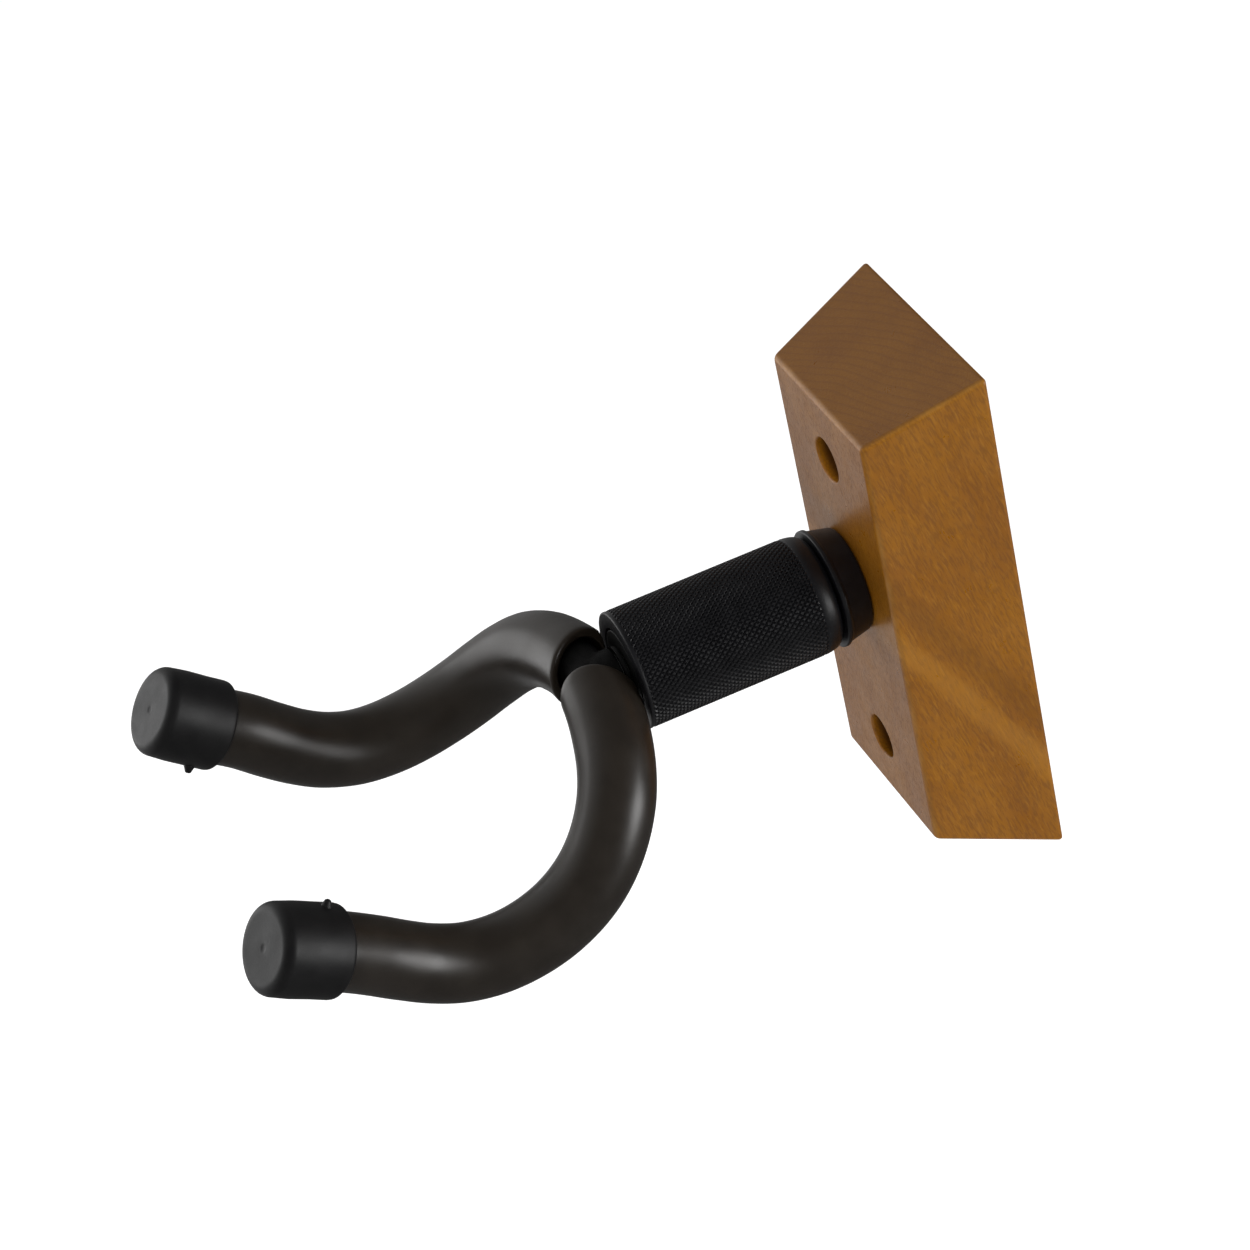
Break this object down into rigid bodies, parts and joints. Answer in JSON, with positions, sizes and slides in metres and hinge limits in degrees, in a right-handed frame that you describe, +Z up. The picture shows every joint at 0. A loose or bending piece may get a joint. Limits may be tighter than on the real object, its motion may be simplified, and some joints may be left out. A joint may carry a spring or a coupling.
{
  "type": "wall guitar hanger",
  "caption": "Wall hanger for a guitar: bevelled hardwood backplate, knurled steel neck and a padded steel fork that swivels to cradle the headstock.",
  "frame": {"origin": "centre of the backplate's back face, on the wall", "axes": "+Z up the wall, +Y into the wall, +X to the right; the neck and the fork reach out along -Y"},
  "size_m": [0.0864, 0.1667, 0.1136],
  "materials": {
    "varnished_wood": "clear varnish over golden-brown hardwood",
    "black_steel": "black oxide or black coating, satin",
    "black_nylon": "moulded",
    "zinc_steel": "zinc plated",
    "soft_tubing": "semi-gloss dark olive-brown tubing",
    "cap_rubber": "matt moulded"
  },
  "bodies": {
    "wall_plate": {"wood_backplate": "varnished_wood", "neck_collar": "black_steel", "knurled_neck": "black_steel", "front_bush": "black_nylon", "rear_bush": "black_nylon", "rear_washer": "zinc_steel"},
    "fork": {"thrust_washer": "black_nylon", "split_washer": "zinc_steel", "lock_nut": "zinc_steel", "lock_nut_insert": "black_nylon", "swivel_stud": "zinc_steel", "fork_rod": "black_steel", "right_sleeve": "soft_tubing", "left_sleeve": "soft_tubing", "right_cap": "cap_rubber", "left_cap": "cap_rubber"}
  },
  "joints": [
    {"name": "fork_swivel", "type": "hinge", "parent": "wall_plate", "child": "fork", "pos_m": [0, -0.06, 0.00615], "axis": [0, -1, 0], "continuous": true}
  ]
}
